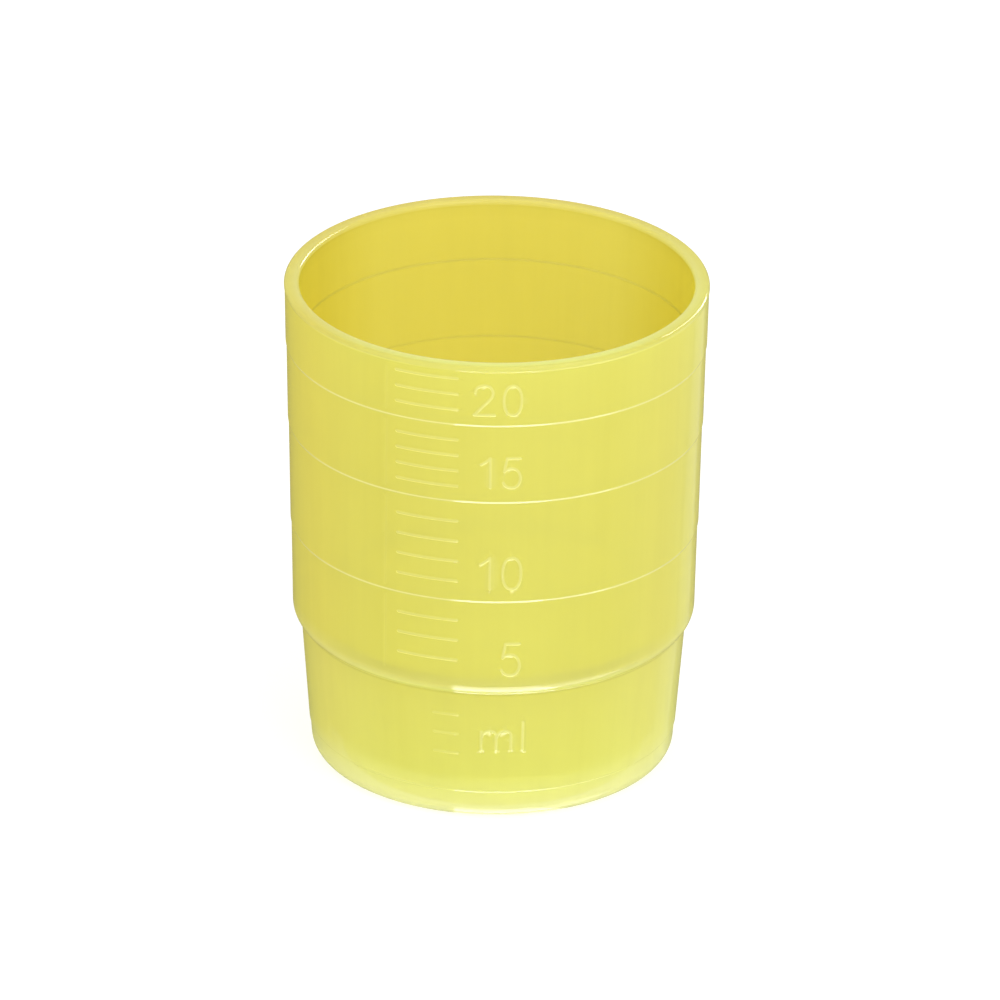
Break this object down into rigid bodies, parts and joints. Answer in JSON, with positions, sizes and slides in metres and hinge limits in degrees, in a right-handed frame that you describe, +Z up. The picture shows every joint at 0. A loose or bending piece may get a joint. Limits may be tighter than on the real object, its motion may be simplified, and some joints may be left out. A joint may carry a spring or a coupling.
{
  "type": "medicine cup",
  "caption": "Small round moulded medicine measuring cup of translucent plastic, with stepped filling lines, a rounded shoulder and a raised scale on one side.",
  "frame": {"origin": "centre of the cup on the plane that its foot stands on", "axes": "+Z up along the cup's axis, the filling scale faces -Y, +X to the right of the scale as it is read"},
  "size_m": [0.0324, 0.0324, 0.039],
  "materials": {
    "cup_plastic": "smooth semi-gloss translucent moulded plastic, milky yellow"
  },
  "bodies": {
    "root": {"cup": "cup_plastic"}
  },
  "joints": []
}
